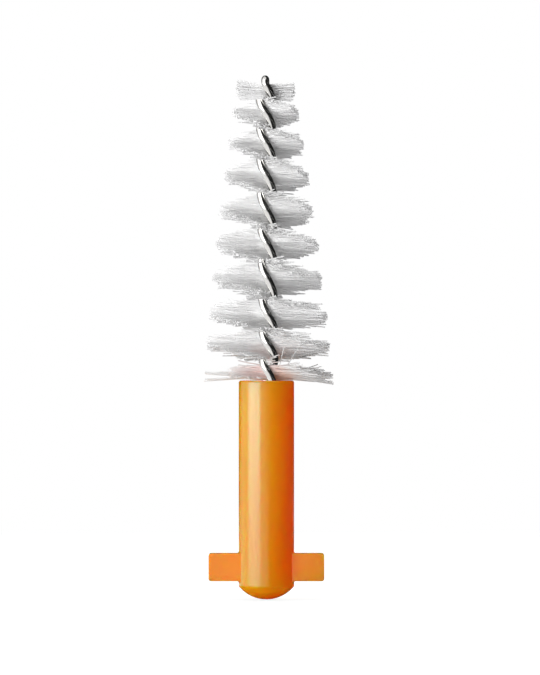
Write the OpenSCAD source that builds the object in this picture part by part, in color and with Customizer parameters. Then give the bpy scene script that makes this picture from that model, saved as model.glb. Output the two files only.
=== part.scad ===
// Interdental brush head: a moulded shank with a cross key near its domed end, one hairpin of thin wire
// whose legs are twisted round each other, and ten half-turn rows of filaments held between the legs.
// Millimetres. Z runs up the brush, X runs along the key, and the origin is the lowest point of the dome.

/* [Shank] */
// Diameter of the round stem
shank_d = 2.53; // [2:0.01:3.4]
// Height from the lowest point of the dome to the flat mouth that the wire leaves by
shank_len = 10; // [8:0.25:14]
// Height of the shallow dome at the lower end
dome_h = 0.6; // [0.3:0.05:0.9]
// Radius of the rounded edge between the dome and the stem
dome_edge_r = 0.12; // [0.05:0.01:0.2]
// Radius of the rounding round the mouth
rim_r = 0.1; // [0.04:0.01:0.25]

/* [Cross key] */
// Width over both wings
key_w = 5.28; // [4.4:0.01:7]
// Height of the wings along the stem
key_h = 1.26; // [0.8:0.01:2]
// Thickness of the wings, front to back
key_t = 1; // [0.6:0.05:1.6]
// Height of the wings' lower edge over the top of the dome
key_lift = 0.25; // [0.2:0.01:1]
// Radius of the wings' outer corners
key_corner_r = 0.12; // [0.04:0.01:0.3]
// Radius of the hollow fillet where the wings meet the stem
key_fillet_r = 0.1; // [0.04:0.01:0.2]

/* [Core wire] */
// Diameter of the wire
wire_d = 0.34; // [0.2:0.01:0.5]
// Space between the two legs in the brush, where the filaments are pinched
pinch_gap = 0.22; // [0.12:0.01:0.3]
// Space between the two legs in the shank
tail_gap = 0.08; // [0.04:0.01:0.12]
// Length of twisted wire hidden in the shank
tail_len = 7; // [4:0.25:7.25]
// Height over the mouth in which the legs spread from the tail's space to the brush's
flare_len = 1; // [0.4:0.1:1.5]
// Height under the bend at the tip in which the twist begins to die out
untwist_len = 0.1; // [0.05:0.01:0.4]

/* [Brush] */
// Length of the brush, from the shank's mouth to where the wire starts its bend at the tip
brush_len = 13.5; // [9:0.25:18]
// Reach of the filaments from the axis in the lowest row
base_reach = 3.12; // [1.5:0.02:4]
// Reach of the filaments from the axis in the top row
tip_reach = 1.35; // [0.9:0.01:2.5]
// How far the outline bows out of a straight cone halfway up
reach_bow = 0.1; // [0:0.01:0.3]
// Height that one layer of filaments takes along the brush
layer_h = 0.062; // [0.058:0.001:0.09]
// Thickness of a filament's free end
filament_d = 0.05; // [0.03:0.001:0.055]
// Least angle by which a filament turns aside as it leaves the wire
splay_min = 6; // [5:1:10]
// Greatest angle by which a filament turns aside as it leaves the wire
splay_max = 30; // [12:1:34]
// Angle by which the topmost layer rises towards its ends
tip_lift = 10; // [0:1:14]

/* [Hidden] */
$fn = 72;
shank_r = shank_d / 2;
wire_r = wire_d / 2;
// Clearance between pieces that are gripped or moulded together
grip_clear = 0.01;
// Overrun of a cut past the surface that it opens
overrun = 0.5;
// Radius of the ball that the dome is a cap of
dome_ball_r = (shank_r * shank_r + dome_h * dome_h) / (2 * dome_h);
// Middle of the dome's rounded edge, and how far from the axis the dome runs into it
dome_edge_x = shank_r - dome_edge_r;
dome_edge_z = dome_ball_r - sqrt(pow(dome_ball_r - dome_edge_r, 2) - pow(dome_edge_x, 2));
dome_cap_r = dome_ball_r * dome_edge_x / (dome_ball_r - dome_edge_r);

key_z = dome_h + key_lift;

tail_off = wire_r + tail_gap / 2;
brush_off = wire_r + pinch_gap / 2;
bore_r = tail_off + wire_r + grip_clear;
bend_z = shank_len + brush_len;

// Heights of the rows' middles over the shank's mouth, lowest first, where the filaments lie along X
row_shares = [0.024, 0.119, 0.219, 0.343, 0.461, 0.574, 0.693, 0.804, 0.907, 1];
row_count = len(row_shares);
row_mid = [for (share = row_shares) shank_len + brush_len * share];
// A row reaches halfway to its neighbours' middles
row_edge = [
    shank_len + grip_clear,
    for (i = [1:row_count - 1]) (row_mid[i - 1] + row_mid[i]) / 2,
    bend_z - grip_clear
];
row_names = [for (i = [1:row_count]) str("bristle_row_", i < 10 ? "0" : "", i)];

// Sides of the wire's section, rings a full turn, and rings round the bend at the tip
wire_sides = 8;
rings_a_turn = 16;
bend_rings = 8;
// Share of the packed middles' thickness that parts their two columns of filaments
column_gap_share = 0.12;
// Share by which the shortest filament falls short of the row's reach
ragged_share = 0.07;

shank_color = "#F08A24";
wire_color = "#9A9894";
filament_color = "#ECECEA";

// Turn of the filaments at a height, in degrees. It falls with height, so the twist is left-handed.
// Below the first row's middle it goes on at the pace of the first half turn, and towards the tip it dies out,
// to stand still at the top of the bend.
row_at = [for (i = [0:row_count - 1]) [row_mid[i], i]];
first_pace = 1 / (row_mid[1] - row_mid[0]);
last_pace = 1 / (row_mid[row_count - 1] - row_mid[row_count - 2]);
untwist_from = bend_z - untwist_len;
untwist_h = untwist_len + brush_off;
function twisted_height(z) =
    let (beyond = min(z - untwist_from, untwist_h))
    beyond <= 0 ? z : untwist_from + beyond - beyond * beyond / (2 * untwist_h);
function turn_at(z) =
    let (h = twisted_height(z))
    h < row_mid[0] ? -180 * (h - row_mid[0]) * first_pace
        : h > bend_z ? -180 * (row_count - 1 + (h - bend_z) * last_pace)
        : -180 * lookup(h, row_at);

// Distance of each leg of the wire from the axis at a height
function ease(u) = u <= 0 ? 0 : u >= 1 ? 1 : u * u * (3 - 2 * u);
function leg_off(z) = tail_off + (brush_off - tail_off) * ease((z - shank_len) / flare_len);

// Reach of the filaments at a height
function reach_at(z) =
    let (u = (z - row_mid[0]) / (bend_z - row_mid[0]))
    base_reach + (tip_reach - base_reach) * u + reach_bow * 4 * u * (1 - u);

function unit(v) = v / norm(v);

// The wire's middle line, up one leg, round the bend and down the other, each point with its outward side
function leg_point(z, side) =
    let (turn = turn_at(z) + side, out = [cos(turn), sin(turn), 0])
    [out * leg_off(z) + [0, 0, z], out];
function bend_point(t) =
    let (
        turn = turn_at(bend_z + brush_off * sin(t)) + 90,
        out = [cos(t) * cos(turn), cos(t) * sin(turn), sin(t)]
    )
    [out * brush_off + [0, 0, bend_z], out];
tail_z = shank_len - tail_len;
leg_steps = ceil(rings_a_turn * (turn_at(tail_z) - turn_at(bend_z)) / 360);
leg_zs = [for (i = [0:leg_steps - 1]) tail_z + (bend_z - tail_z) * i / leg_steps];
wire_line = concat(
    [for (z = leg_zs) leg_point(z, 90)],
    [for (i = [0:bend_rings]) bend_point(180 * i / bend_rings)],
    [for (i = [leg_steps - 1:-1:0]) leg_point(leg_zs[i], 270)]
);

// Orange moulding: stem, dome, mouth and cross key, with the blind bore that the tail of the wire lies in
module shank() {
    color(shank_color)
    difference() {
        union() {
            rotate_extrude() stem_outline();
            wings();
            key_fillets();
        }
        translate([0, 0, tail_z - grip_clear])
            cylinder(r = bore_r, h = tail_len + grip_clear + overrun);
    }
}

// Half section of the stem, from the dome's lowest point to the rounded mouth
module stem_outline() {
    intersection() {
        translate([0, dome_ball_r]) circle(r = dome_ball_r);
        square([dome_cap_r, dome_edge_z]);
    }
    translate([dome_edge_x, dome_edge_z]) circle(r = dome_edge_r);
    translate([0, dome_edge_z]) square([shank_r, shank_len - dome_edge_z - rim_r]);
    translate([0, shank_len - rim_r]) square([shank_r - rim_r, rim_r]);
    translate([shank_r - rim_r, shank_len - rim_r]) circle(r = rim_r);
}

// Flat bar through the stem with four rounded corners
module wings() {
    translate([0, key_t / 2, key_z])
        rotate([90, 0, 0])
        linear_extrude(key_t) {
            translate([-key_w / 2, key_corner_r]) square([key_w, key_h - 2 * key_corner_r]);
            translate([-key_w / 2 + key_corner_r, 0]) square([key_w - 2 * key_corner_r, key_h]);
            for (x = [-1, 1], z = [key_corner_r, key_h - key_corner_r])
                translate([x * (key_w / 2 - key_corner_r), z]) circle(r = key_corner_r);
        }
}

// Hollow fillets over and under the wings, which follow the round of the stem
module key_fillets() {
    intersection() {
        union() {
            rotate_extrude() translate([0, key_z + key_h]) fillet_outline();
            rotate_extrude() translate([0, key_z]) mirror([0, 1]) fillet_outline();
        }
        translate([-key_w / 2, -key_t / 2, key_z - key_fillet_r])
            cube([key_w, key_t, key_h + 2 * key_fillet_r]);
    }
}

module fillet_outline() {
    difference() {
        square([shank_r + key_fillet_r, key_fillet_r]);
        translate([shank_r + key_fillet_r, key_fillet_r]) circle(r = key_fillet_r);
    }
}

// One unbroken hairpin of round wire
module core_wire() {
    rings = len(wire_line);
    points = [
        for (i = [0:rings - 1])
            let (
                here = wire_line[i][0],
                along = unit(wire_line[min(i + 1, rings - 1)][0] - wire_line[max(i - 1, 0)][0]),
                out = unit(wire_line[i][1] - along * (wire_line[i][1] * along)),
                across = cross(along, out)
            )
            for (j = [0:wire_sides - 1])
                let (a = 360 * j / wire_sides)
                here + wire_r * (cos(a) * out + sin(a) * across)
    ];
    faces = concat(
        [[for (j = [0:wire_sides - 1]) j]],
        [[for (j = [wire_sides - 1:-1:0]) (rings - 1) * wire_sides + j]],
        [
            for (i = [0:rings - 2], j = [0:wire_sides - 1])
                let (
                    k = (j + 1) % wire_sides,
                    a = i * wire_sides,
                    b = a + wire_sides
                )
                each [[a + j, b + j, b + k], [a + j, b + k, a + k]]
        ]
    );
    color(wire_color) polyhedron(points = points, faces = faces);
}

// One half turn of filaments. Each layer holds one filament that leaves both sides of the packed middles,
// in the left and the right column by turns, so layers lie over each other and no two filaments cross.
module bristle_row(row) {
    low = row_edge[row];
    high = row_edge[row + 1];
    layers = max(3, round((high - low) / layer_h));
    zs = [for (i = [0:layers]) low + (high - low) * i / layers];
    splays = rands(splay_min, splay_max, 2 * layers, row + 1);
    cuts = rands(1 - ragged_share, 1, 2 * layers, row + 101);
    // Eight corners a ring: four across the front edge of the packed middles, then four across the back
    ring_points = [
        for (z = zs)
            let (
                half_t = leg_off(z) - wire_r - grip_clear,
                half_gap = half_t * column_gap_share,
                half_w = leg_off(z) + wire_r
            )
            for (side = [0, 180], u = [-half_t, -half_gap, half_gap, half_t])
                let (turn = turn_at(z) + side)
                [half_w * cos(turn) - u * sin(turn), half_w * sin(turn) + u * cos(turn), z]
    ];
    // Four corners at each free end, in the order of the root's corners: low then high, right then left
    end_points = [
        for (i = [0:layers - 1], s = [0, 1])
            let (
                z = (zs[i] + zs[i + 1]) / 2,
                left = i % 2,
                turn = turn_at(z) + 180 * s,
                bend = (left == 1 ? 1 : -1) * splays[2 * i + s],
                root = ring_middle(ring_points, i, s, left),
                reach = reach_at(z) * cuts[2 * i + s],
                way = [cos(turn + bend), sin(turn + bend), 0],
                aside = [-way[1], way[0], 0] * filament_d / 2,
                rise = [0, 0, filament_d / 2],
                run = reach - norm([root[0], root[1]]),
                end = root + run * (way + [0, 0, tan(lift_at(z))])
            )
            each [end - aside - rise, end + aside - rise, end - aside + rise, end + aside + rise]
    ];
    points = concat(ring_points, end_points);
    ends_from = len(ring_points);
    walls = [
        for (i = [0:layers - 1], s = [0, 1])
            let (
                left = i % 2,
                a = 8 * i + 4 * s,
                b = a + 8,
                root = left == 1 ? 2 : 0,
                other = 2 - root,
                tip = ends_from + 4 * (2 * i + s)
            )
            each concat(
                quad(a + 1, a + 2, b + 2, b + 1),
                quad(a + other, a + other + 1, b + other + 1, b + other),
                quad(a + root, a + root + 1, tip + 1, tip),
                quad(a + root + 1, b + root + 1, tip + 3, tip + 1),
                quad(b + root + 1, b + root, tip + 2, tip + 3),
                quad(b + root, a + root, tip, tip + 2),
                quad(tip, tip + 1, tip + 3, tip + 2)
            )
    ];
    flats = [
        for (i = [0:layers - 1], s = [0, 1])
            let (a = 8 * i + 4 * s + 3, b = 8 * i + (4 * s + 4) % 8)
            each quad(a, b, b + 8, a + 8)
    ];
    top = 8 * layers;
    lids = [
        for (j = [0:2])
            each concat(
                quad(7 - j, 6 - j, j + 1, j),
                quad(top + j, top + j + 1, top + 6 - j, top + 7 - j)
            )
    ];
    color(filament_color) polyhedron(points = points, faces = concat(walls, flats, lids));
}

// Middle of the face that a filament grows from
function ring_middle(ring_points, layer, s, left) =
    let (a = 8 * layer + 4 * s + 2 * left)
    (ring_points[a] + ring_points[a + 1] + ring_points[a + 8] + ring_points[a + 9]) / 4;

// Only the last row rises, and the more so the nearer it is to the bend
function lift_at(z) =
    let (from = row_edge[row_count - 1])
    z <= from ? 0 : tip_lift * (z - from) / (bend_z - from);

// A four-sided face as two triangles. Its corners run anticlockwise seen from outside.
function quad(a, b, c, d) = [[c, b, a], [d, c, a]];

shank();
core_wire();
for (i = [0:row_count - 1])
    bristle_row(i);
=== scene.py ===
import math
import random

import bmesh
import bpy
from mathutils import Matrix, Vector


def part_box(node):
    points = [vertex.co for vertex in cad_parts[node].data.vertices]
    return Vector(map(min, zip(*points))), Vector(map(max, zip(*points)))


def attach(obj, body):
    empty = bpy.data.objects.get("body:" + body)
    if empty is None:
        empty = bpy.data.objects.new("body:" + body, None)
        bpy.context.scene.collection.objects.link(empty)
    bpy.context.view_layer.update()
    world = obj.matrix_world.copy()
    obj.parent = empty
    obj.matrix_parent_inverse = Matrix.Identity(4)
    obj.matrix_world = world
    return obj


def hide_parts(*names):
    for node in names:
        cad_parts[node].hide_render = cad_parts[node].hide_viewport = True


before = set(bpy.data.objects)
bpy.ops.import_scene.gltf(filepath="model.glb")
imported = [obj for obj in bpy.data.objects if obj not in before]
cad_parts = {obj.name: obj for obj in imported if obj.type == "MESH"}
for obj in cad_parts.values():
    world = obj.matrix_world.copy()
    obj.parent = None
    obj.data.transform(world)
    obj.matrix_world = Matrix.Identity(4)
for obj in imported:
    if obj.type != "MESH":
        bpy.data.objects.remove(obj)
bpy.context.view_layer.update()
print("Frame loaded, with", len(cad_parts), "nodes")

mm = 0.001
lightBounces = 24    # white filaments hand light on many times
scene = bpy.context.scene
scene.view_settings.view_transform = "Standard"
scene.cycles.max_bounces = lightBounces
scene.cycles.diffuse_bounces = lightBounces
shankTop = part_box("shank")[1].z / mm


# Camera: level with the brush and square to its key, as in the photo
camera = {
    "distance": 260,
    "pixel": 0.0457,              # millimetres of the brush in one photo pixel
    "domePixel": (266.4, 599.4),  # the dome's lowest point in the photo
    "photoSize": (540, 675),
    "sensor": 36,
    "clip": (26, 20000),          # nearest and farthest distance seen
}


def addCamera():
    width, height = camera["photoSize"]
    domeX, domeY = camera["domePixel"]
    near, far = camera["clip"]
    data = bpy.data.cameras.new("photoCamera")
    data.sensor_width = camera["sensor"]
    data.lens = camera["sensor"] * camera["distance"] / (height * camera["pixel"])
    data.clip_start = near * mm
    data.clip_end = far * mm
    piece = bpy.data.objects.new("photoCamera", data)
    right = (width / 2 - domeX) * camera["pixel"]
    up = (domeY - height / 2) * camera["pixel"]
    piece.location = Vector((right, -camera["distance"], up)) * mm
    piece.rotation_euler = (math.pi / 2, 0, 0)
    scene.collection.objects.link(piece)
    scene.camera = piece


addCamera()
print("Camera placed")


# Node helpers, used by the materials
mixSockets = {"first": 6, "second": 7, "mixed": 2}    # where a Mix node takes and gives colours


def newMaterial(name):
    material = bpy.data.materials.new(name)
    material.use_nodes = True
    tree = material.node_tree
    shader = tree.nodes["Principled BSDF"]
    return material, tree, shader


def addNode(tree, kind, **settings):
    node = tree.nodes.new("ShaderNode" + kind)
    for key, value in settings.items():
        setattr(node, key, value)
    return node


def objectPattern(tree, stretch=1):
    # the object's own coordinates, drawn out along the brush where the stretch is under 1
    coords = addNode(tree, "TexCoord")
    mapping = addNode(tree, "Mapping")
    mapping.inputs["Scale"].default_value = (1, 1, stretch)
    tree.links.new(coords.outputs["Object"], mapping.inputs["Vector"])
    return mapping.outputs["Vector"]


def addNoise(tree, vector, scale, detail):
    noise = addNode(tree, "TexNoise")
    noise.inputs["Scale"].default_value = scale
    noise.inputs["Detail"].default_value = detail
    tree.links.new(vector, noise.inputs["Vector"])
    return noise.outputs["Fac"]


def remap(tree, value, low, high, fromLow=0.3, fromHigh=0.7):
    # a noise's values lie mostly between 0.3 and 0.7
    spread = addNode(tree, "MapRange")
    spread.inputs["From Min"].default_value = fromLow
    spread.inputs["From Max"].default_value = fromHigh
    spread.inputs["To Min"].default_value = low
    spread.inputs["To Max"].default_value = high
    tree.links.new(value, spread.inputs["Value"])
    return spread.outputs["Result"]


def mixColours(tree, factor, first, second):
    mix = addNode(tree, "Mix", data_type="RGBA")
    tree.links.new(factor, mix.inputs["Factor"])
    mix.inputs[mixSockets["first"]].default_value = (*first, 1)
    mix.inputs[mixSockets["second"]].default_value = (*second, 1)
    return mix.outputs[mixSockets["mixed"]]


def addGloss(tree, shader, grain, finish):
    # roughness that the grain spreads round the finish's own
    below, above = finish["glossSpread"]
    roughness = remap(tree, grain, finish["gloss"] - below, finish["gloss"] + above)
    tree.links.new(roughness, shader.inputs["Roughness"])


def addBump(tree, shader, height, distance, strength):
    bump = addNode(tree, "Bump")
    bump.inputs["Strength"].default_value = strength
    bump.inputs["Distance"].default_value = distance
    tree.links.new(height, bump.inputs["Height"])
    tree.links.new(bump.outputs["Normal"], shader.inputs["Normal"])


# Studio: white surround, pale floor, softboxes, a light panel and cards
studio = {
    "ambient": 0.02,             # level of the surround for diffuse light
    "floorSize": 4000,
    "floorCells": 8,
    "floorColour": 0.15,         # for light that the floor hands on
    "floorShadow": 0.3,          # share of the floor's look that takes shadow
    "floorGlow": 0.85,
    "floorFade": (30, 90),       # distances over which the floor turns to plain white
    "aimHeight": 12,             # height on the brush that the softboxes face
    "softboxes": [
        # name, azimuth, elevation, distance, width, height, level, shows in gloss
        ("stripeBox", -54, 2, 200, 210, 60, 5.5, True),
        ("tallBox", -51, 32, 200, 200, 300, 2.05, True),
        ("topBox", 0, 88, 200, 110, 110, 3.5, False),
        ("backBox", 180, 14, 200, 220, 160, 4.6, False),
        ("rightTopBox", 60, 60, 200, 130, 130, 0.35, False),
    ],
    "panelLift": 0.1,            # height over the floor
    "panels": [
        # name, azimuth, distance, width, depth and level of light panels that lie on the floor
        ("frontPanel", -15, 45, 90, 60, 1.3),
    ],
    "cardSteps": 24,
    "cards": [
        # name, first and last azimuth, foot's distance and height, head's distance and height, grey, role
        ("rightCard", 12, 140, 120, 0, 120, 90, 0.02, "wall"),
        ("rightBackCard", 138, 182, 120, 0, 120, 160, 0.03, "gloss"),
        ("rightHood", -10, 190, 100, 80, 100, 240, 0.02, "gloss"),
        ("frontCard", -4, 10, 300, 0, 300, 300, 0.05, "gloss"),
        ("leftBackCard", -182, -128, 120, 0, 120, 160, 0.03, "gloss"),
        ("domeCard", -180, 180, 6, 0.03, 0.05, 0.03, 0.05, "gloss"),
        ("domeBounce", -180, 110, 2.8, 0.02, 0.05, 0.02, 0.8, "bounce"),
        ("rightFloorCard", 8, 180, 100, 0.03, 6, 0.03, 0.02, "gloss"),
    ],
}


def upBy(height):
    return Vector((0, 0, height * mm))


def aroundBrush(azimuth, elevation, distance):
    # azimuth 0 is towards the camera and grows towards +X
    turn, rise = math.radians(azimuth), math.radians(elevation)
    along = math.cos(rise)
    return Vector((math.sin(turn) * along, -math.cos(turn) * along, math.sin(rise))) * distance * mm


def addLamp(name, width, height, level, inGloss):
    data = bpy.data.lights.new(name, "AREA")
    data.shape = "RECTANGLE"
    data.size = width * mm
    data.size_y = height * mm
    data.energy = math.pi * width * height * mm * mm * level
    lamp = bpy.data.objects.new(name, data)
    lamp.visible_camera = False
    lamp.visible_glossy = inGloss
    scene.collection.objects.link(lamp)
    return lamp


def addSoftbox(name, azimuth, elevation, distance, width, height, level, inGloss):
    lamp = addLamp(name, width, height, level, inGloss)
    offset = aroundBrush(azimuth, elevation, distance)
    lamp.location = upBy(studio["aimHeight"]) + offset
    lamp.rotation_euler = offset.to_track_quat("Z", "Y").to_euler()


def addPanel(name, azimuth, distance, width, depth, level):
    lamp = addLamp(name, width, depth, level, False)
    lamp.location = aroundBrush(azimuth, 0, distance) + upBy(studio["panelLift"])
    lamp.rotation_euler = (math.pi, 0, math.radians(azimuth))


def addCard(name, firstAzimuth, lastAzimuth, footDistance, lower, headDistance, upper, grey, role):
    # every card shows in gloss, a bounce card and a wall also hand light on, and only a wall stops it
    bm = bmesh.new()
    foot = bm.verts.new(aroundBrush(firstAzimuth, 0, footDistance) + upBy(lower))
    head = bm.verts.new(aroundBrush(firstAzimuth, 0, headDistance) + upBy(upper))
    edge = bm.edges.new((foot, head))
    sweep = math.radians(lastAzimuth - firstAzimuth)
    steps = studio["cardSteps"]
    bmesh.ops.spin(bm, geom=[edge], cent=(0, 0, 0), axis=(0, 0, 1), angle=sweep, steps=steps)
    mesh = bpy.data.meshes.new(name)
    bm.to_mesh(mesh)
    bm.free()
    card = bpy.data.objects.new(name, mesh)
    scene.collection.objects.link(card)
    material, tree, shader = newMaterial(name + "Felt")
    shader.inputs["Base Color"].default_value = (grey, grey, grey, 1)
    shader.inputs["Roughness"].default_value = 1
    shader.inputs["Specular IOR Level"].default_value = 0
    mesh.materials.append(material)
    card.visible_camera = False
    card.visible_diffuse = role in ("wall", "bounce")
    card.visible_shadow = role == "wall"


def cameraOrMirror(tree):
    # 1 for what the camera sees straight, in a reflection or through glass
    path = addNode(tree, "LightPath")
    either = addNode(tree, "Math", operation="MAXIMUM")
    tree.links.new(path.outputs["Is Camera Ray"], either.inputs[0])
    tree.links.new(path.outputs["Is Glossy Ray"], either.inputs[1])
    seen = addNode(tree, "Math", operation="MAXIMUM")
    tree.links.new(either.outputs[0], seen.inputs[0])
    tree.links.new(path.outputs["Is Transmission Ray"], seen.inputs[1])
    return seen.outputs[0]


def addSurround():
    world = bpy.data.worlds.new("studioSurround")
    world.use_nodes = True
    scene.world = world
    tree = world.node_tree
    background = tree.nodes["Background"]
    background.inputs["Color"].default_value = (1, 1, 1, 1)
    level = remap(tree, cameraOrMirror(tree), studio["ambient"], 1, 0, 1)
    tree.links.new(level, background.inputs["Strength"])


def makeFloorPaper():
    # grey paper for light that bounces, and for the camera white with a soft shadow near the brush
    material = bpy.data.materials.new("floorPaper")
    material.use_nodes = True
    tree = material.node_tree
    tree.nodes.clear()
    colour = studio["floorColour"]
    share = studio["floorShadow"]
    paper = addNode(tree, "BsdfDiffuse")
    paper.inputs["Color"].default_value = (colour, colour, colour, 1)
    shaded = addNode(tree, "BsdfDiffuse")
    shaded.inputs["Color"].default_value = (share, share, share, 1)
    glow = addNode(tree, "Emission")
    glow.inputs["Strength"].default_value = studio["floorGlow"]
    white = addNode(tree, "Emission")
    near = addNode(tree, "AddShader")
    tree.links.new(shaded.outputs[0], near.inputs[0])
    tree.links.new(glow.outputs[0], near.inputs[1])
    coords = addNode(tree, "TexCoord")
    distance = addNode(tree, "VectorMath", operation="LENGTH")
    tree.links.new(coords.outputs["Object"], distance.inputs[0])
    fadeFrom, fadeTo = studio["floorFade"]
    away = remap(tree, distance.outputs["Value"], 0, 1, fadeFrom * mm, fadeTo * mm)
    shown = addNode(tree, "MixShader")
    tree.links.new(away, shown.inputs[0])
    tree.links.new(near.outputs[0], shown.inputs[1])
    tree.links.new(white.outputs[0], shown.inputs[2])
    either = addNode(tree, "MixShader")
    tree.links.new(cameraOrMirror(tree), either.inputs[0])
    tree.links.new(paper.outputs[0], either.inputs[1])
    tree.links.new(shown.outputs[0], either.inputs[2])
    output = addNode(tree, "OutputMaterial")
    tree.links.new(either.outputs[0], output.inputs["Surface"])
    return material


def addFloor():
    bm = bmesh.new()
    half = studio["floorSize"] * mm / 2
    cells = studio["floorCells"]
    bmesh.ops.create_grid(bm, x_segments=cells, y_segments=cells, size=half)
    mesh = bpy.data.meshes.new("floor")
    bm.to_mesh(mesh)
    bm.free()
    floor = bpy.data.objects.new("floor", mesh)
    scene.collection.objects.link(floor)
    mesh.materials.append(makeFloorPaper())


addSurround()
addFloor()
for box in studio["softboxes"]:
    addSoftbox(*box)
for panel in studio["panels"]:
    addPanel(*panel)
for card in studio["cards"]:
    addCard(*card)
print("Studio lit")


# Shank: glossy orange moulding that lets light soak in
shank = {
    "colour": (0.84, 0.38, 0.004),
    "deepColour": (0.82, 0.36, 0.003),
    "flow": (900, 3),            # scale and detail of the noise between the two colours
    "flowStretch": 0.25,         # under 1, it is drawn out along the shank
    "soak": (16, 0.15, 0.05),    # how far red, green and blue travel inside
    "gloss": 0.2,
    "glossSpread": (0.03, 0.04),
    "grain": (9000, 4),
    "refraction": 1.5,
    "shine": 0.8,                # specular level, 0.5 for plain plastic
    "shineTint": (0.4, 0.8, 0.8),  # the photo's highlight is creamier than plain white over orange
    # Everything nearer the axis than the reach, and over the floor, is the bore
    "boreReach": 0.5,
    "boreFloor": 2.6,
    "weld": 0.001,               # points closer than this are one
    "flatLimit": 0.5,            # faces that meet at a smaller angle, in degrees, are one
    "edgeRound": 0.05,           # rounding of the sharp edges
    "edgeSegments": 3,
    "sharpAngle": 30,
}


def makeShankPlastic():
    material, tree, shader = newMaterial("orangePlastic")
    flow = addNoise(tree, objectPattern(tree, shank["flowStretch"]), *shank["flow"])
    plastic = mixColours(tree, flow, shank["deepColour"], shank["colour"])
    tree.links.new(plastic, shader.inputs["Base Color"])
    addGloss(tree, shader, addNoise(tree, objectPattern(tree), *shank["grain"]), shank)
    shader.inputs["IOR"].default_value = shank["refraction"]
    shader.inputs["Specular IOR Level"].default_value = shank["shine"]
    shader.inputs["Specular Tint"].default_value = (*shank["shineTint"], 1)
    shader.inputs["Subsurface Weight"].default_value = 1
    shader.inputs["Subsurface Radius"].default_value = shank["soak"]
    shader.inputs["Subsurface Scale"].default_value = mm
    return material


def closeBore(bm):
    # the plastic is moulded onto the wire, so the bore that stands in for it is closed
    near, floor = shank["boreReach"] * mm, shank["boreFloor"] * mm
    bore = [v for v in bm.verts if math.hypot(v.co.x, v.co.y) < near and v.co.z > floor]
    bmesh.ops.delete(bm, geom=bore, context="VERTS")
    mouth = [e for e in bm.edges if e.is_boundary]
    bmesh.ops.holes_fill(bm, edges=mouth, sides=0)


def roundEdges(bm):
    limit = math.radians(shank["sharpAngle"])
    sharp = [e for e in bm.edges if len(e.link_faces) == 2 and e.calc_face_angle() > limit]
    bmesh.ops.bevel(bm, geom=sharp, offset=shank["edgeRound"] * mm, offset_type="OFFSET",
                    segments=shank["edgeSegments"], profile=0.5, affect="EDGES",
                    clamp_overlap=True, material=-1)
    return len(sharp)


def makeShank():
    bm = bmesh.new()
    bm.from_mesh(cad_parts["shank"].data)
    bmesh.ops.remove_doubles(bm, verts=bm.verts, dist=shank["weld"] * mm)
    closeBore(bm)
    flat = math.radians(shank["flatLimit"])
    bmesh.ops.dissolve_limit(bm, angle_limit=flat, verts=bm.verts, edges=bm.edges)
    rounded = roundEdges(bm)
    bmesh.ops.recalc_face_normals(bm, faces=bm.faces)
    for face in bm.faces:
        face.smooth = True
    mesh = bpy.data.meshes.new("mouldedShank")
    bm.to_mesh(mesh)
    bm.free()
    piece = bpy.data.objects.new("mouldedShank", mesh)
    scene.collection.objects.link(piece)
    piece.modifiers.new("evenNormals", "WEIGHTED_NORMAL")
    mesh.materials.append(makeShankPlastic())
    piece.visible_glossy = False    # the wire mirrors only the studio, as in the photo
    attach(piece, "root")
    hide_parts("shank")
    print("Shank made, with", len(mesh.polygons), "faces and", rounded, "rounded edges")


makeShank()


# Twist of the brush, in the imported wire's sizes but for its easing at the tip and its lean
twist = {
    "wireDiameter": 0.34,
    "pinchGap": 0.22,            # between the legs in the brush
    "tailGap": 0.08,             # between the legs in the shank
    "tailLength": 7,
    "flareLength": 1,
    "brushLength": 13.5,
    "easeLength": 0.2,           # the twist begins to die out this far under the bend
    "lean": (0.12, -0.045),      # sideways place of the wire at the mouth and at the bend
    # Heights of the half turns at which the filaments lie along X, as shares of the brush's length
    "halfTurnShares": [0.024, 0.119, 0.219, 0.343, 0.461, 0.574, 0.693, 0.804, 0.907, 1],
}
wireRadius = twist["wireDiameter"] / 2
tailOffset = wireRadius + twist["tailGap"] / 2
brushOffset = wireRadius + twist["pinchGap"] / 2
bendHeight = shankTop + twist["brushLength"]
rowHeights = [shankTop + twist["brushLength"] * share for share in twist["halfTurnShares"]]


def smoothStep(share):
    share = min(max(share, 0), 1)
    return share * share * (3 - 2 * share)


def turnAt(height):
    # left-handed: the filaments' direction falls half a turn from row to row,
    # and the twist dies out at the tip
    easeFrom = bendHeight - twist["easeLength"]
    if height > easeFrom:
        span = 2 * (bendHeight + brushOffset - easeFrom)
        beyond = min(height - easeFrom, span / 2)
        height = easeFrom + beyond - beyond * beyond / span
    last = len(rowHeights) - 1
    below = 0
    while below < last - 1 and height > rowHeights[below + 1]:
        below += 1
    pace = rowHeights[below + 1] - rowHeights[below]
    return -math.pi * (below + (height - rowHeights[below]) / pace)


def legOffset(height):
    return tailOffset + (brushOffset - tailOffset) * smoothStep((height - shankTop) / twist["flareLength"])


def flatDirection(angle):
    return Vector((math.cos(angle), math.sin(angle), 0))


def leanAt(height):
    # the wire stands a little aside in its shank and leans back over it towards the tip
    share = (height - shankTop) / twist["brushLength"]
    atMouth, atTip = twist["lean"]
    return Vector((atMouth + (atTip - atMouth) * share, 0, 0))


# Tubes are drawn as curves and then made meshes
def newTubeCurve(name, diameter, resolution):
    curve = bpy.data.curves.new(name, "CURVE")
    curve.dimensions = "3D"
    curve.bevel_depth = diameter * mm / 2
    curve.bevel_resolution = resolution
    curve.use_fill_caps = True
    return curve


def addLine(curve, points):
    line = curve.splines.new("POLY")
    line.points.add(len(points) - 1)
    for i, point in enumerate(points):
        line.points[i].co = (*(point * mm), 1)
    line.use_smooth = True


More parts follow.
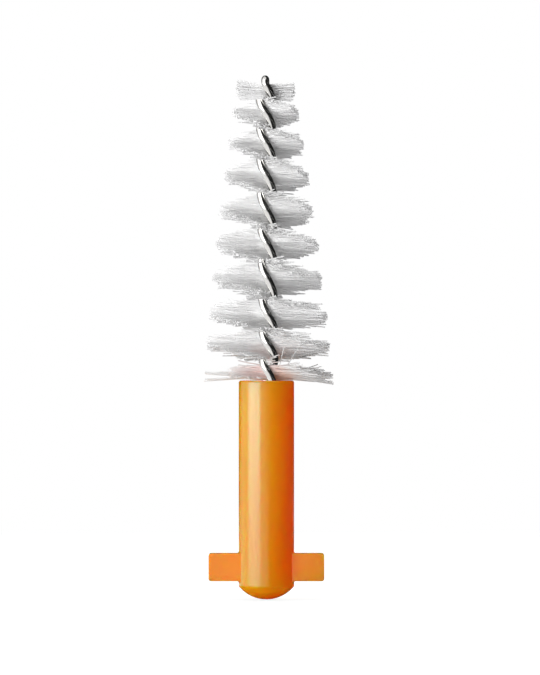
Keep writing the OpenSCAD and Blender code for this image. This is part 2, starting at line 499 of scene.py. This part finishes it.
def curveToPiece(name, curve):
    holder = bpy.data.objects.new(name + "Line", curve)
    scene.collection.objects.link(holder)
    bpy.context.view_layer.update()
    shape = holder.evaluated_get(bpy.context.evaluated_depsgraph_get())
    mesh = bpy.data.meshes.new_from_object(shape)
    bpy.data.objects.remove(holder)
    bpy.data.curves.remove(curve)
    mesh.name = name
    piece = bpy.data.objects.new(name, mesh)
    scene.collection.objects.link(piece)
    return piece


# Core wire: one hairpin, both legs twisted round each other
wire = {
    "resolution": 6,
    "ringsPerTurn": 40,
    "bendRings": 24,
    "colour": (0.68, 0.67, 0.65),
    "darkShare": 0.92,           # of the colour, in the dark of the grain
    "grain": (24000, 3),         # scale and detail of the drawing marks
    "grainStretch": 0.12,
    "gloss": 0.14,
    "glossSpread": (0.04, 0.06),
    "bumpHeight": 0.001,
    "bumpStrength": 0.4,
}


def legPoint(height, side):
    out = flatDirection(turnAt(height) + side * math.pi / 2)
    return out * legOffset(height) + Vector((0, 0, height))


def hairpinPoints():
    tailHeight = shankTop - twist["tailLength"]
    turns = (turnAt(tailHeight) - turnAt(bendHeight)) / (2 * math.pi)
    steps = math.ceil(wire["ringsPerTurn"] * turns)
    heights = [tailHeight + (bendHeight - tailHeight) * i / steps for i in range(steps)]
    legs = [[legPoint(height, side) for height in heights] for side in (1, -1)]
    bend = []
    for i in range(wire["bendRings"] + 1):
        angle = math.pi * i / wire["bendRings"]
        lift = brushOffset * math.sin(angle)
        out = flatDirection(turnAt(bendHeight + lift) + math.pi / 2)
        bend.append(out * brushOffset * math.cos(angle) + Vector((0, 0, bendHeight + lift)))
    return [point + leanAt(point.z) for point in legs[0] + bend + legs[1][::-1]]


def makeWireSteel():
    material, tree, shader = newMaterial("drawnSteel")
    grain = addNoise(tree, objectPattern(tree, wire["grainStretch"]), *wire["grain"])
    dark = [c * wire["darkShare"] for c in wire["colour"]]
    tree.links.new(mixColours(tree, grain, dark, wire["colour"]), shader.inputs["Base Color"])
    addGloss(tree, shader, grain, wire)
    shader.inputs["Metallic"].default_value = 1
    addBump(tree, shader, grain, wire["bumpHeight"] * mm, wire["bumpStrength"])
    return material


def makeWire():
    curve = newTubeCurve("hairpin", twist["wireDiameter"], wire["resolution"])
    addLine(curve, hairpinPoints())
    piece = curveToPiece("hairpinWire", curve)
    piece.data.materials.clear()
    piece.data.materials.append(makeWireSteel())
    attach(piece, "root")
    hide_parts("core_wire")
    print("Wire made, with", len(piece.data.polygons), "faces")


makeWire()


# Bristles: loose filaments pinched between the legs, one piece for each half turn
bristles = {
    "diameter": 0.048,
    "resolution": 0,             # a filament has four sides
    "perMillimetre": 150,
    "baseReach": 3.0,
    "tipReach": 1.35,
    "reachBow": 0.1,             # how far the outline bows out of a straight cone halfway up
    "ragged": 0.1,               # share by which the shortest falls short
    "clump": 5,                  # filaments that cling together, on average
    "clinging": 0.5,             # share of its way that a filament has from its clump
    "splay": 36,                 # greatest turn aside, in degrees
    "follow": 0.07,              # share of the turn aside by which a filament also dips along the wire
    "tilt": 3.3,                 # spread of the rise and fall, in degrees
    "curl": 3.0,                 # spread of the bend along a filament, in degrees
    "droop": 0.028,              # fall towards +X for each millimetre
    "tipLift": 5,                # rise of the topmost filaments, in degrees
    "tipGather": 0.95,           # share of the turn to the key's direction that the topmost row makes up
    "tipSplay": 0.5,             # share of the other rows' turn aside in the topmost row
    "marks": (0.14, 0.4),        # where a filament bends near the wire
    "farShares": (0.5, 1),       # where it bends beyond, as shares of the rest
    "leave": (0.05, 0.4),        # it turns aside from the first distance on, over the second
    "mouthGap": 0.03,            # between the mouth and the lowest filament's middle
    "rimGap": 0.03,              # that a falling filament keeps from the mouth's rim
    "overBend": 0.04,            # height over the legs' ends that the topmost row reaches
    "seed": 11,
    "colour": (0.999, 0.997, 0.998),
    "darkShare": 0.98,           # of the colour, in the darkest filament
    "paintedBounceColour": (0.999, 0.84, 0.81),  # painted orange bounce light from the shank's mouth on the lowest filaments
    "paintedBounceReach": (0.6, 1.9),     # distances from the middle of its mouth over which the painted bounce light fades
    "gloss": 0.35,
    "glossSpread": (0.05, 0.1),
    "grain": (12000, 2),
    "shine": 0.3,
    # The lowest row is thin and low, and short on both sides apart from a few bunches of strands
    "baseHeight": 0.64,
    "sideLimit": 0.5,            # cosine from which a filament counts as on a side
    "baseShortLeft": (0.52, 0.68),
    "baseShortRight": (0.76, 0.92),
    "bunches": [
        # count, height over the mouth, heading and rise in degrees, reach
        (8, 0.14, 180, 3.5, 2.95),
        (7, 0.17, 180, -4, 2.85),
        (5, 0.3, 176, 1, 2.3),
        (6, 0.3, 2, -6.5, 2.9),
        (6, 0.3, -2, -1.5, 2.88),
        (5, 0.42, 0, -0.5, 2.85),
        (8, 0.08, 205, 1.5, 1.7),
        (8, 0.08, 222, 1.5, 1.8),
        (8, 0.08, 240, 1.5, 1.7),
        (8, 0.08, 258, 1.5, 1.6),
    ],
    "bunchSpread": (0.02, 4, 0.7, 0.06),    # of the height, heading, rise and reach
    "strays": [
        # loose ends over the lowest row: height over the mouth, heading and rise, reach, curl upwards
        (0.36, -6, 0, 2.25, 34),
        (0.34, -14, 1, 2.45, 24),
        (0.5, -76, 6, 2.2, 60),
        (0.5, -55, 6, 2.3, 60),
        (0.66, -34, 4, 1.6, 12),
        (0.7, 215, 4, 1.7, 8),
        (0.8, -60, 6, 2.3, 0),
        (0.9, 130, 4, 2.2, 4),
    ],
    # A loose filament's other half: shares of its turn aside and of its reach, and its own rise in radians
    "otherAside": 0.25,
    "otherReach": 0.5,
    "otherRise": 0.02,
}
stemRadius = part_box("shank")[1].y / mm
rowEdges = [shankTop + bristles["mouthGap"]]
for lower, upper in zip(rowHeights, rowHeights[1:]):
    rowEdges.append((lower + upper) / 2)
rowEdges.append(bendHeight + bristles["overBend"])


def reachAt(height):
    share = (height - rowHeights[0]) / (bendHeight - rowHeights[0])
    low, high = bristles["baseReach"], bristles["tipReach"]
    return low + (high - low) * share + bristles["reachBow"] * 4 * share * (1 - share)


def halfFilament(start, heading, splay, rise, curl, reach, upward=0):
    # points from the pinch outwards, which turn aside where the filament leaves the wire
    marks = list(bristles["marks"])
    outer = marks[-1]
    marks += [outer + (reach - outer) * share for share in bristles["farShares"]]
    leaveFrom, leaveOver = bristles["leave"]
    points = []
    here, travelled = start.copy(), 0
    for mark in marks:
        middle = (travelled + mark) / 2
        leave = smoothStep((middle - leaveFrom) / leaveOver)
        bent = middle / reach
        way = flatDirection(heading + splay * leave + curl * bent)
        way.z = math.tan(rise * leave + upward * bent * bent)
        here = here + way * (mark - travelled)
        travelled = mark
        points.append(here)
    return points


def seated(points, height):
    # off the axis with the wire, and drooping to one side
    shift = leanAt(height)
    return [point + shift - Vector((0, 0, bristles["droop"] * point.x)) for point in points]


def newClump(rng):
    # turn aside, rise and shortness for each side
    return [(rng.uniform(-1, 1), rng.gauss(0, 1), rng.random() ** 2) for side in range(2)]


def bristleLine(rng, height, clump):
    turn = turnAt(height)
    across = flatDirection(turn + math.pi / 2)
    room = (twist["pinchGap"] - bristles["diameter"]) / 2
    start = across * rng.uniform(-room, room) + Vector((0, 0, height))
    own = newClump(rng)
    share = bristles["clinging"]
    isTip, isBase = height > rowEdges[-2], height < rowEdges[1]
    lift, gather = 0, 0
    if isTip:
        lift = math.radians(bristles["tipLift"]) * (height - rowEdges[-2]) / (bendHeight - rowEdges[-2])
        gather = bristles["tipGather"] * (turnAt(bendHeight + brushOffset) - turn)
    halves = []
    for side in range(2):
        aside, slope, short = [share * a + (1 - share) * b for a, b in zip(clump[side], own[side])]
        heading = turn + side * math.pi
        splay = math.radians(bristles["splay"]) * aside * (bristles["tipSplay"] if isTip else 1)
        rise = math.radians(bristles["tilt"]) * slope + lift - bristles["follow"] * splay
        splay += gather
        curl = rng.gauss(0, math.radians(bristles["curl"]))
        reach = reachAt(height) * (1 - bristles["ragged"] * short)
        if isBase:
            rise = max(rise, -math.atan2(height - rowEdges[0] - bristles["rimGap"], stemRadius))
            sideways = math.cos(heading + splay)
            if sideways < -bristles["sideLimit"]:
                reach *= rng.uniform(*bristles["baseShortLeft"])
            elif sideways > bristles["sideLimit"]:
                reach *= rng.uniform(*bristles["baseShortRight"])
        halves.append(halfFilament(start, heading, splay, rise, curl, reach))
    return seated(halves[1][::-1] + [start] + halves[0], height)


def strayLine(over, heading, rise, reach, upward):
    height = shankTop + over
    start = Vector((0, 0, height))
    turn = turnAt(height)
    heading = math.radians(heading)
    # it leaves by the side of the pinch that it ends on
    side = math.pi if math.cos(heading - turn) < 0 else 0
    aside = (heading - turn - side + math.pi) % (2 * math.pi) - math.pi
    free = halfFilament(start, turn + side, aside, math.radians(rise), 0, reach, math.radians(upward))
    otherAside, otherReach = aside * bristles["otherAside"], reach * bristles["otherReach"]
    other = halfFilament(start, turn + side + math.pi, otherAside, bristles["otherRise"], 0, otherReach)
    return seated(other[::-1] + [start] + free, height)


def bunchLines(rng, count, over, heading, rise, reach):
    spreads = bristles["bunchSpread"]
    for i in range(count):
        offsets = [rng.gauss(0, spread) for spread in spreads]
        yield strayLine(over + offsets[0], heading + offsets[1], rise + offsets[2], reach + offsets[3], 0)


def looseLines(rng):
    lines = [strayLine(*stray) for stray in bristles["strays"]]
    for bunch in bristles["bunches"]:
        lines += bunchLines(rng, *bunch)
    return lines


def makeFilamentNylon():
    material, tree, shader = newMaterial("whiteNylon")
    tone = addNode(tree, "Attribute", attribute_name="tone")
    light = bristles["colour"]
    dark = [c * bristles["darkShare"] for c in light]
    nylon = mixColours(tree, tone.outputs["Fac"], dark, light)
    # painted orange bounce light from the shank's mouth, fading with the distance from it
    away = addNode(tree, "VectorMath", operation="DISTANCE")
    away.inputs[1].default_value = (0, 0, shankTop * mm)
    tree.links.new(addNode(tree, "TexCoord").outputs["Object"], away.inputs[0])
    near, far = bristles["paintedBounceReach"]
    clear = remap(tree, away.outputs["Value"], 0, 1, near * mm, far * mm)
    nylonWithPaintedBounce = mixColours(tree, clear, bristles["paintedBounceColour"], light)
    tree.links.new(nylon, nylonWithPaintedBounce.node.inputs[mixSockets["second"]])
    tree.links.new(nylonWithPaintedBounce, shader.inputs["Base Color"])
    addGloss(tree, shader, addNoise(tree, objectPattern(tree), *bristles["grain"]), bristles)
    shader.inputs["Specular IOR Level"].default_value = bristles["shine"]
    return material


def addTones(rng, mesh, count):
    # every filament has a tone of its own
    perFilament = len(mesh.vertices) // count
    tones = [rng.random() for i in range(count)]
    values = [tones[min(i // perFilament, count - 1)] for i in range(len(mesh.vertices))]
    mesh.attributes.new("tone", "FLOAT", "POINT").data.foreach_set("value", values)


def makeRow(index, material):
    rng = random.Random(bristles["seed"] + index)
    low, high = rowEdges[index], rowEdges[index + 1]
    if index == 0:
        high = low + bristles["baseHeight"]
    count = round(bristles["perMillimetre"] * (high - low))
    name = "filaments_%02d" % (index + 1)
    curve = newTubeCurve(name, bristles["diameter"], bristles["resolution"])
    clump = newClump(rng)
    for i in range(count):
        height = low + (high - low) * (i + rng.random()) / count
        if rng.random() < 1 / bristles["clump"]:
            clump = newClump(rng)
        addLine(curve, bristleLine(rng, height, clump))
    if index == 0:
        loose = looseLines(rng)
        for points in loose:
            addLine(curve, points)
        count += len(loose)
    piece = curveToPiece(name, curve)
    mesh = piece.data
    addTones(rng, mesh, count)
    mesh.materials.clear()
    mesh.materials.append(material)
    piece.visible_glossy = False    # as for the shank
    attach(piece, "root")
    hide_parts("bristle_row_%02d" % (index + 1))
    return count, len(mesh.polygons)


filamentNylon = makeFilamentNylon()
for index in range(len(rowHeights)):
    count, faces = makeRow(index, filamentNylon)
    print("Row", index + 1, "made, with", count, "filaments and", faces, "faces")
